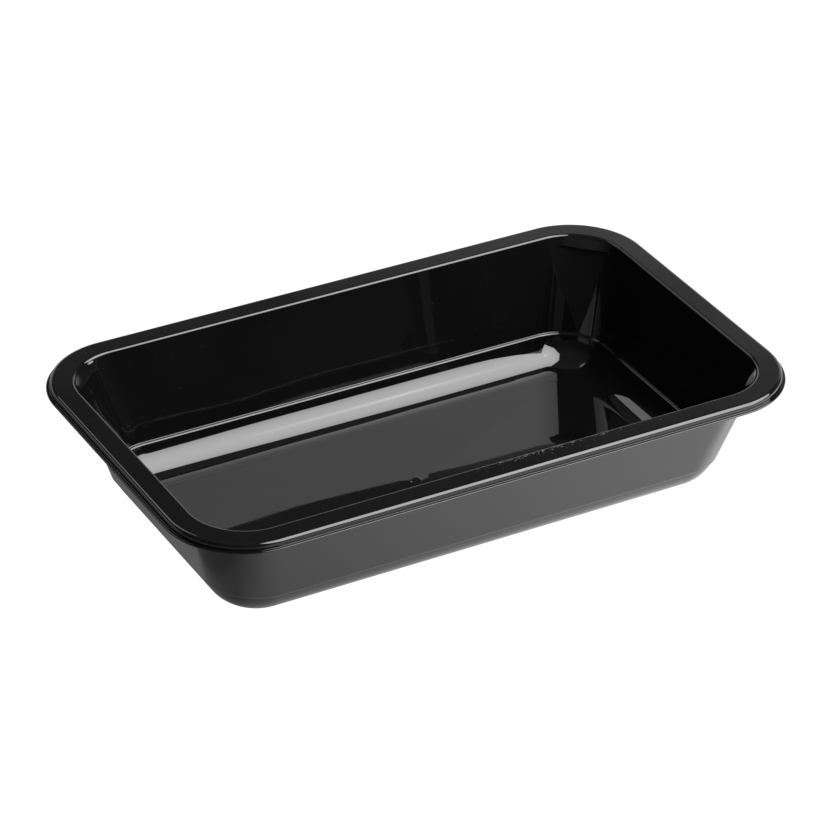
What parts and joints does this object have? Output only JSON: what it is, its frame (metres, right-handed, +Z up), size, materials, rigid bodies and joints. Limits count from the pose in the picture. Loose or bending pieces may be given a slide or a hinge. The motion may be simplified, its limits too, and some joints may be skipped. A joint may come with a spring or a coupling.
{
  "type": "plastic food tray",
  "caption": "Empty black plastic food tray: a rounded rectangular dish with sloping walls, a narrow step above the base, a flat rim and a small turned-out edge lip.",
  "frame": {"origin": "middle of the plane that the tray rests on", "axes": "+X along the long side, +Y along the short side, +Z up, out of the mouth"},
  "size_m": [0.265, 0.162, 0.051],
  "materials": {
    "black_plastic": "gloss"
  },
  "bodies": {
    "root": {"tray": "black_plastic"}
  },
  "joints": []
}
